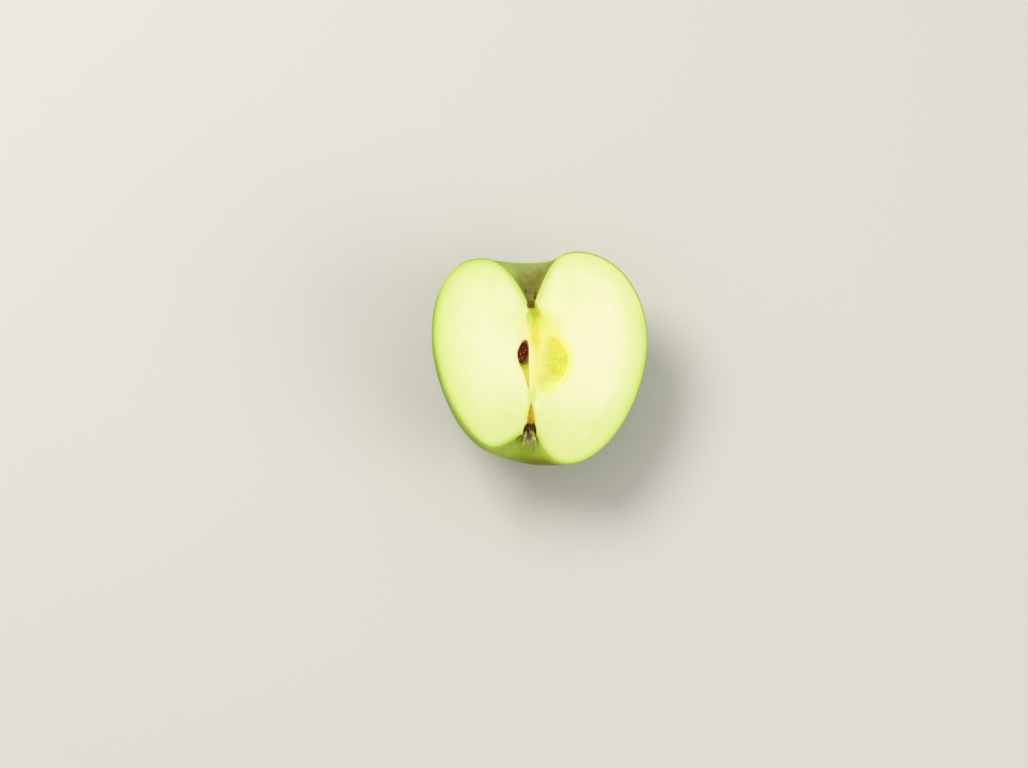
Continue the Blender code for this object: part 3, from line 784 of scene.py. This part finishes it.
def build_half():
    """Points, faces, the kind of finish of each face, and the marks that the finishes use."""
    rings, folds = turned_skin()
    inner = np.array([ring[1:-1] for ring in rings])
    count = inner.shape[1]
    points = np.concatenate((rings[0][[0, -1]], inner.reshape(-1, 3)))
    faces = half_turn_faces(TURN_STEPS, count)
    on_skin = range(SKIN_START - 1, SKIN_END - 1)
    between = [SKIN_FACE if place in on_skin else TUBE_FACE for place in range(count - 1)]
    kinds = [TUBE_FACE, *between, TUBE_FACE] * TURN_STEPS

    wide_side = [ring_corner(0, place, count) for place in range(count)]
    narrow_side = [ring_corner(TURN_STEPS, place, count) for place in range(count)]
    rim_corners = [0, *wide_side, 1, *reversed(narrow_side)]
    rim = points[rim_corners][:, (0, 2)]
    loops = {name: smooth_loop(shape[0], CHAMBER_STEPS) for name, shape in CHAMBERS.items()}
    added = np.concatenate((*loops.values(), points_of_cut(rim, loops.values())))
    triangles = triangles_of_cut(np.concatenate((rim, added)), rim, loops.values())
    corners = np.concatenate((rim_corners, len(points) + np.arange(len(added))))
    faces += [tuple(face) for face in corners[triangles].tolist()]
    kinds += [FLESH_FACE] * len(triangles)
    sink = sink_of_cut(added, rim, loops.values())
    points = np.concatenate((points, np.column_stack((added[:, 0], sink, added[:, 1]))))

    start = len(rim)
    for name, (_, depth, floor, form, tail) in CHAMBERS.items():
        edge = corners[start : start + len(loops[name])].tolist()
        start += len(edge)
        deeper, walls = chamber(edge, loops[name], len(points), depth, np.array(floor), form, tail)
        points = np.concatenate((points, deeper))
        faces += walls
        kinds += [CHAMBER_FACE] * len(walls)

    on_cut = points[:, (0, 2)]
    wide_line, narrow_line = fruit_outline(0.0), fruit_outline(math.pi) * (-1.0, 1.0)
    marks = {}
    for name, part in (("rim", slice(SKIN_START, SKIN_END)), ("tube", slice(SKIN_END, None))):
        lines = (wide_line[part], narrow_line[part])
        marks[name] = np.minimum(*(distance_to(on_cut, line, closed=False) for line in lines))
    marks["fold"] = np.zeros(len(points))
    marks["fold"][2 : 2 + inner.shape[0] * count] = np.array([fold[1:-1] for fold in folds]).ravel()
    for name, loop in loops.items():
        marks[name] = distance_to(on_cut, loop) * np.where(inside(on_cut, loop), 1.0, -1.0)
    return points, faces, kinds, marks


points, faces, kinds, marks = build_half()
half = make_piece("half_flesh_and_skin", points, faces, (flesh, skin, lining, tube_lining), kinds, marks)
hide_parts("apple_half")

# The seed: a hard glossy brown coat with painted glints, a little blunter below than towards the stalk.
# It grew loose in its chamber and lies there as the knife left it, leaning from the core.
SEED_SIZE = (7.4, 3.5, 2.0)
SEED_MIDDLE = (-2.7, 1.15, 2.0)
SEED_LEAN = 13.0
SEED_ENDS = (0.6, 0.62)
SEED_ARC = (0.08, 0.95)
SEED_RINGS = 72
SEED_SIDES = 64
seed_coat, surface = new_material("seed_coat", {"Roughness": 0.3, "Specular IOR Level": 0.05})
spot = surface.mark("fruit", output=1)
along = surface.mark("along")
stripes = surface.grain(spot, 0.22, detail=3.0, stretch=(1.0, 1.0, 7.0))
bands = surface.grain(spot, 1.4)
dents = surface.grain(spot, 0.8)
# Painted highlights: small pale pink glints scattered over the coat.
painted_glints = surface.grain(spot, 0.5, detail=3.0, stretch=(1.0, 1.0, 2.0))
colour = coated(
    bands.ease(0.35, 0.65).paint((82, 10, 0), (124, 34, 0)),
    (stripes.ease(0.52, 0.72) * 0.6, (168, 76, 16)),
    (dents.ease(0.5, 0.35) * 0.6, (44, 4, 0)),
    (painted_glints.ease(0.61, 0.68) * 0.75, (240, 166, 120)),
    (along.ease(0.14, 0.0), (44, 12, 0)),
    (along.ease(0.93, 1.0) * 0.7, (150, 96, 44)),
)
finish_surface(surface, colour, height=stripes + dents * 4.0, depth=0.07)


def swept(path, widths, thicknesses, sides, across):
    """Points and faces of a closed form with an oval section that follows a path."""
    path = np.asarray(path, dtype=float)
    tangents = np.gradient(path, axis=0)
    angles = np.linspace(0.0, 2.0 * math.pi, sides, endpoint=False)[:, None]
    rings, faces = [], []
    for number, (point, tangent, width, thickness) in enumerate(zip(path, tangents, widths, thicknesses)):
        tangent = tangent / np.linalg.norm(tangent)
        flat = across - np.dot(across, tangent) * tangent
        flat = flat / np.linalg.norm(flat)
        proud = np.cross(tangent, flat)
        rings.append(point + 0.5 * width * np.cos(angles) * flat + 0.5 * thickness * np.sin(angles) * proud)
        if number > 0:
            before, here = (number - 1) * sides, number * sides
            turns = [(side, (side + 1) % sides) for side in range(sides)]
            faces += [(before + side, before + after, here + after, here + side) for side, after in turns]
    faces.append(tuple(range(sides)))
    faces.append(tuple(range((len(path) - 1) * sides, len(path) * sides)))
    return np.concatenate(rings), faces


def seed_form():
    """Points and faces of the seed, its long axis leaning from the core, and how far up it each is."""
    length, width, thickness = SEED_SIZE
    angle = np.linspace(SEED_ARC[0] * math.pi, SEED_ARC[1] * math.pi, SEED_RINGS)
    along = -np.cos(angle)
    form = (1.0 + along) ** SEED_ENDS[0] * (1.0 - along) ** SEED_ENDS[1]
    form = form / form.max()
    along = (along - along.min()) / (along.max() - along.min())
    path = np.column_stack((np.zeros_like(along), np.zeros_like(along), length * (along - 0.5)))
    points, faces = swept(path, width * form, thickness * form, SEED_SIDES, np.array((1.0, 0.0, 0.0)))
    lean = np.array(Matrix.Rotation(math.radians(SEED_LEAN), 3, "Y"))
    return points @ lean.T + SEED_MIDDLE, faces, np.repeat(along, SEED_SIDES)


points, faces, along = seed_form()
seed = make_piece("brown_seed", points, faces, (seed_coat,), marks={"along": along})
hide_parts("seed")

# The stalk's stub: the woody foot of the stalk, broken off short and sliced with the fruit.
# Its bark is dark brown, its sliced wood paler and fibrous; it grows out of the socket's floor.
STUB_FOOT = 18.1
STUB_OUTLINE = ((0.0, 0.0), (0.65, 0.0), (1.05, 0.5), (1.2, 1.3), (1.0, 2.1), (0.6, 2.4), (0.0, 2.2))
STUB_STEPS = 40
STUB_ROWS = 36
STUB_RUFFLE = 0.18
stalk_wood, surface = new_material("stalk_wood", {"Roughness": 0.8, "Specular IOR Level": 0.05})
spot, across, inward, height = surface.fruit_place()
knots = surface.grain(spot, 0.55, detail=3.0)
fibres = surface.grain(spot, 0.18, detail=3.0, stretch=(1.0, 1.0, 5.0))
bark = fibres.ease(0.35, 0.65).paint((110, 90, 28), (160, 142, 62))
wood = coated(
    knots.ease(0.42, 0.58).paint((94, 68, 0), (150, 118, 26)),
    (knots.ease(0.58, 0.66) * 0.8, (218, 176, 120)),
    (fibres.ease(0.5, 0.35) * 0.6, (80, 54, 4)),
)
sliced = inward.ease(0.12, 0.02) * (abs(across) + (knots - 0.5) * 1.6).ease(1.3, 0.8)
broken_end = (height + (knots - 0.5) * 2.0).ease(19.8, 20.6)
colour = coated(bark, (sliced, wood), (broken_end * 0.5, (64, 42, 16)))
finish_surface(surface, colour, height=fibres + knots * 2.0, depth=0.2)


def half_turned(outline, steps, ruffle):
    """A solid turned half round the core and closed by a flat cut, with a rough surface."""
    sides = outline[1:-1]
    count = len(sides)
    points = [(0.0, 0.0, outline[0][1]), (0.0, 0.0, outline[-1][1])]
    for turn in np.linspace(0.0, math.pi, steps + 1):
        rough = [(1.0 + ruffle * noise.noise(Vector((3.0 * turn, z * 1.7, 2.0))), 1.0) for _, z in sides]
        points.extend(turned(sides * rough, turn))
    faces = half_turn_faces(steps, count)
    first = [ring_corner(0, place, count) for place in range(count)]
    last = [ring_corner(steps, place, count) for place in range(count)]
    faces += zip(first[:-1], first[1:], last[1:], last[:-1])
    faces += [(0, first[0], last[0]), (1, last[-1], first[-1])]
    return np.array(points), faces


def resampled(corners, rows):
    """Evenly spaced points along the line through some corners."""
    corners = np.asarray(corners, dtype=float)
    lengths = np.concatenate(((0.0,), np.cumsum(np.linalg.norm(np.diff(corners, axis=0), axis=1))))
    places = np.linspace(0.0, lengths[-1], rows)
    return np.column_stack([np.interp(places, lengths, corners[:, axis]) for axis in (0, 1)])


stub_line = resampled(STUB_OUTLINE, STUB_ROWS) + (0.0, STUB_FOOT)
points, faces = half_turned(stub_line, STUB_STEPS, STUB_RUFFLE)
stub = make_piece("stalk_stub_sliced", points, faces, (stalk_wood,))
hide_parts("stalk_stub")

# The dried calyx: what is left of the flower. A dark plug sits in the bell, and shrivelled
# sepals and thread-like stamens with their dry anthers curl out of it over the basin.
CALYX_PLUG = ((0.0, -23.9), (1.2, -24.2), (1.95, -25.2), (2.1, -26.5), (1.6, -27.5), (0.0, -27.9))
CALYX_PLUG_SHIFT = -0.5
CALYX_PLUG_SET_BACK = 0.5
CALYX_PLUG_FLATNESS = 0.72
CALYX_PLUG_ROWS = 30
CALYX_PLUG_STEPS = 36
CALYX_PLUG_RUFFLE = 0.14
SEPAL_START = (1.2, -26.1)
SEPAL_TURNS = (24.0, 68.0, 112.0, 152.0)
SEPAL_REACH = (2.8, 3.6, 3.5, 2.8)
SEPAL_TIPS = (-30.9, -31.5, -30.8, -31.2)
SEPAL_SWAY = (-0.14, 0.12)
SEPAL_CURL = 1.5
SEPAL_WIDTH = 1.75
SEPAL_THICKNESS = 0.22
SEPAL_SIDES = 12
STAMEN_START = (0.7, -26.2)
STAMEN_TURNS = (12.0, 28.0, 48.0, 66.0, 79.0, 90.0, 100.0, 116.0, 131.0, 150.0, 168.0)
STAMEN_REACH = 1.9
STAMEN_TIPS = (-28.4, -29.6, -30.0, -28.8, -29.4, -30.6, -29.8, -28.9, -29.6, -30.2, -28.6)
STAMEN_SWAY = (-0.25, 0.2)
STAMEN_CURL = 0.8
STAMEN_WIDTH = 0.2
ANTHER_WIDTH = 0.46
ANTHER_PLACE = 0.94
ANTHER_LENGTH = 0.06
STRAND_RINGS = 28
STRAND_SIDES = 8
HAIRS_PER_SEPAL = 26
HAIRS_PER_FRONT_STRAND = 14
HAIR_LENGTH = 0.7
HAIR_WIDTH = 0.07
HAIR_TAPER = (1.0, 0.9, 0.75, 0.55, 0.3)
HAIR_SEED = 11
# Strands that lie against the cut: where each starts and ends, how far it bends, its width.
FRONT_STRANDS = (
    ((-0.6, -24.6), (-0.5, -27.6), 0.12, 0.34),
    ((-2.0, -26.2), (-2.3, -29.4), 0.3, 0.5),
    ((-2.3, -27.2), (-2.7, -30.2), 0.2, 0.4),
    ((-1.8, -27.8), (-2.0, -31.0), -0.3, 0.4),
    ((0.2, -25.6), (0.6, -29.2), 0.4, 0.52),
    ((0.6, -26.4), (2.1, -29.9), -0.25, 0.46),
    ((-1.1, -28.6), (-0.6, -31.0), -0.25, 0.34),
    ((1.1, -27.0), (1.1, -30.2), 0.35, 0.4),
)
dry_calyx, surface = new_material("dry_calyx", {"Roughness": 0.9, "Specular IOR Level": 0.05})
spot, across, _, height = surface.fruit_place()
wool = surface.grain(spot, 0.2, detail=3.0)
folds = surface.grain(spot, 0.7, stretch=(1.0, 1.0, 3.0))
# Painted shade: darker brown in the gap between the two clumps of strands in front.
painted_shade_between_clumps = (abs(across + 0.85) + (wool - 0.5) * 0.8).ease(1.0, 0.4) * height.ease(-29.6, -28.4)
plug = folds.ease(0.4, 0.6).paint((60, 38, 6), (104, 66, 20))
colour = coated(
    wool.ease(0.38, 0.62).paint((184, 172, 78), (242, 234, 158)),
    (folds.ease(0.5, 0.36) * 0.45, (122, 104, 32)),
    ((height + (wool - 0.5) * 2.0).ease(-26.8, -25.2) * 0.7, (120, 88, 48)),
    (painted_shade_between_clumps * 0.65, (116, 92, 44)),
    (surface.mark("plug"), plug),
)
finish_surface(surface, colour, height=wool + folds, depth=0.15)


def strand_path(turn, start, reach, tip, sway, curl):
    """The path of a sepal or stamen, from the plug out and down, bent to one side and curled."""
    t = np.linspace(0.0, 1.0, STRAND_RINGS)
    radius = start[0] + (reach - start[0]) * t + curl * t**3 * (1.0 - t)
    turns = math.radians(turn) + sway * np.sin(1.4 * math.pi * t)
    height = start[1] + (tip - start[1]) * t**0.8
    return np.column_stack((CALYX_PLUG_SHIFT + radius * np.cos(turns), radius * np.sin(turns), height))


def around_core(turn):
    """The way round the core at a turn, in degrees."""
    return np.array((-math.sin(math.radians(turn)), math.cos(math.radians(turn)), 0.0))


def hairs(dice, path, widths, across, count):
    """Fine hairs, each as points and faces, that hang from the edges of a strand."""
    made = []
    for place, aside, droop, lift in dice.uniform(-1.0, 1.0, (count, 4)):
        ring = int((0.5 + 0.45 * place) * (STRAND_RINGS - 1))
        foot = path[ring] + 0.4 * aside * widths[ring] * across
        way = aside * across + np.array((0.0, -0.3 + 0.5 * lift, -0.6 + 0.5 * droop))
        hair = foot + np.linspace(0.0, HAIR_LENGTH, len(HAIR_TAPER))[:, None] * way / np.linalg.norm(way)
        hair[:, 1] = np.maximum(hair[:, 1], 0.1)
        thin = HAIR_WIDTH * np.array(HAIR_TAPER)
        made.append(swept(hair, thin, thin, 4, np.array((0.3, 1.0, 0.2))))
    return made


def joined(parts):
    """One mesh from several, each as (points, faces)."""
    points, faces, start = [], [], 0
    for part_points, part_faces in parts:
        points.append(part_points)
        faces += [tuple(start + corner for corner in face) for face in part_faces]
        start += len(part_points)
    return np.concatenate(points), faces


def build_calyx():
    """The plug, then every sepal and stamen, with a mark for the plug."""
    plug_line = resampled(CALYX_PLUG, CALYX_PLUG_ROWS)
    plug, plug_faces = half_turned(plug_line, CALYX_PLUG_STEPS, CALYX_PLUG_RUFFLE)
    plug = plug * (1.0, CALYX_PLUG_FLATNESS, 1.0) + (CALYX_PLUG_SHIFT, CALYX_PLUG_SET_BACK, 0.0)
    parts = [(plug, plug_faces)]
    dice = np.random.default_rng(HAIR_SEED)
    t = np.linspace(0.0, 1.0, STRAND_RINGS)
    for number, (turn, reach, tip) in enumerate(zip(SEPAL_TURNS, SEPAL_REACH, SEPAL_TIPS)):
        path = strand_path(turn, SEPAL_START, reach, tip, SEPAL_SWAY[number % 2], SEPAL_CURL)
        widths = SEPAL_WIDTH * (1.0 - 0.8 * t**1.6) * (1.0 + 0.16 * np.sin(17.0 * t + number))
        parts.append(swept(path, widths, np.full_like(t, SEPAL_THICKNESS), SEPAL_SIDES, around_core(turn)))
        parts += hairs(dice, path, widths, around_core(turn), HAIRS_PER_SEPAL)
    anther = np.exp(-(((t - ANTHER_PLACE) / ANTHER_LENGTH) ** 2))
    for number, (turn, tip) in enumerate(zip(STAMEN_TURNS, STAMEN_TIPS)):
        path = strand_path(turn, STAMEN_START, STAMEN_REACH, tip, STAMEN_SWAY[number % 2], STAMEN_CURL)
        widths = STAMEN_WIDTH + (ANTHER_WIDTH - STAMEN_WIDTH) * anther
        parts.append(swept(path, widths, widths, STRAND_SIDES, around_core(turn)))
    across = np.array((1.0, 0.0, 0.0))
    for number, (start, end, bend, width) in enumerate(FRONT_STRANDS):
        x = start[0] + (end[0] - start[0]) * t + bend * np.sin(math.pi * t) + 0.08 * np.sin(19.0 * t + number)
        z = start[1] + (end[1] - start[1]) * t
        path = np.column_stack((x, 0.42 + 0.12 * np.sin(9.0 * t + number), z))
        widths = width * (1.0 - 0.35 * t) * (1.0 + 0.2 * np.sin(23.0 * t + 2.0 * number))
        parts.append(swept(path, widths, 0.6 * widths, STRAND_SIDES, across))
        parts += hairs(dice, path, widths, across, HAIRS_PER_FRONT_STRAND)
    points, faces = joined(parts)
    return points, faces, np.arange(len(points)) < len(plug)


points, faces, in_plug = build_calyx()
calyx = make_piece("dried_calyx_strands", points, faces, (dry_calyx,), marks={"plug": in_plug})
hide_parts("dried_calyx")

# The table: a plain pale matt surface that the half lies on.
TABLE_SIZE = 3.0
table_paint, surface = new_material("table_paint", {"Base Color": tint(222, 218, 210), "Roughness": 0.7})
reach = 0.5 * TABLE_SIZE
corners = [(-reach, -reach, 0.0), (reach, -reach, 0.0), (reach, reach, 0.0), (-reach, reach, 0.0)]
mesh = bpy.data.meshes.new("table")
mesh.from_pydata(corners, [], [(0, 1, 2, 3)])
mesh.materials.append(table_paint)
table = bpy.data.objects.new("table", mesh)
bpy.context.collection.objects.link(table)

# The light: soft daylight all round, and one large soft window from the upper left. A lamp is
# its name, place in metres, size, power and colour.
SKY_STRENGTH = 0.58
LAMPS = (
    ("window", (-0.55, 0.45, 0.95), 0.7, 8.4, (1.0, 0.98, 0.95)),
    ("fill", (0.75, -0.35, 0.6), 0.8, 2.8, (1.0, 1.0, 1.0)),
)
world = bpy.data.worlds.new("daylight")
world.use_nodes = True
world.node_tree.nodes["Background"].inputs["Color"].default_value = (1.0, 1.0, 1.0, 1.0)
world.node_tree.nodes["Background"].inputs["Strength"].default_value = SKY_STRENGTH
bpy.context.scene.world = world
for name, place, size, power, shade in LAMPS:
    lamp = bpy.data.lights.new(name, "AREA")
    lamp.shape = "DISK"
    lamp.size = size
    lamp.energy = power
    lamp.color = shade
    thing = bpy.data.objects.new(name, lamp)
    thing.location = place
    thing.rotation_euler = (-Vector(place)).to_track_quat("-Z", "Y").to_euler()
    bpy.context.collection.objects.link(thing)
bpy.context.scene.view_settings.view_transform = "Standard"

# The camera: level, high over the half, so that the cut shows with the photograph's outline.
# The middle of the fruit's frame stands a little right of and above the picture's middle.
ELEVATION = math.radians(73.0)
DISTANCE = 1.507
FOCAL_LENGTH = 150.0
SENSOR_WIDTH = 36.0
FRUIT_RIGHT = 0.00598
FRUIT_UP = 0.00915
back = Vector((0.0, -math.cos(ELEVATION), math.sin(ELEVATION)))
up = Vector((0.0, math.sin(ELEVATION), math.cos(ELEVATION)))
right = Vector((1.0, 0.0, 0.0))
lens = bpy.data.cameras.new("camera")
lens.lens = FOCAL_LENGTH
lens.sensor_width = SENSOR_WIDTH
camera = bpy.data.objects.new("camera", lens)
camera.location = lying.translation + DISTANCE * back - FRUIT_RIGHT * right - FRUIT_UP * up
camera.rotation_euler = Matrix((right, up, back)).transposed().to_euler()
bpy.context.collection.objects.link(camera)
bpy.context.scene.camera = camera
